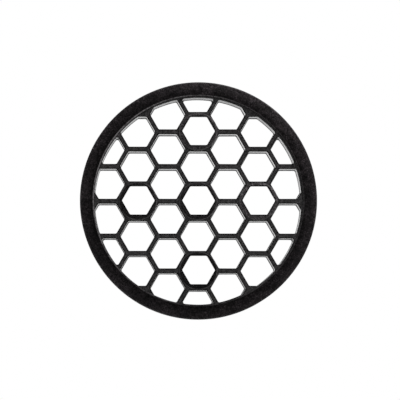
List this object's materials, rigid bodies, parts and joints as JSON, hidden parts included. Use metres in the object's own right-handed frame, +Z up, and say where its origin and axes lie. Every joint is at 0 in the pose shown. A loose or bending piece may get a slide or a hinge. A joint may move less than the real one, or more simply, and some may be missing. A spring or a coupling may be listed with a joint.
{
  "type": "honeycomb grid",
  "caption": "Round black honeycomb grid disc: hexagonal cells inside a flat ring frame, placed over a flash or lamp head to narrow its beam.",
  "frame": {"origin": "middle of the disc, on its axis and halfway through its depth", "axes": "+Y along the disc's axis from the front lip to the back, +Z up, +X to the right seen from the front"},
  "size_m": [0.07, 0.011, 0.07],
  "materials": {
    "frame_black": "fine-grained satin black",
    "core_black": "moulded semi-gloss black",
    "bush_black": "matte black"
  },
  "bodies": {
    "root": {"frame_ring": "frame_black", "honeycomb_core": "core_black", "retaining_ring": "frame_black", "hex_bush_centre": "bush_black", "hex_bush_upper": "bush_black", "hex_bush_lower": "bush_black", "hex_bush_left": "bush_black", "hex_bush_right": "bush_black"}
  },
  "joints": []
}
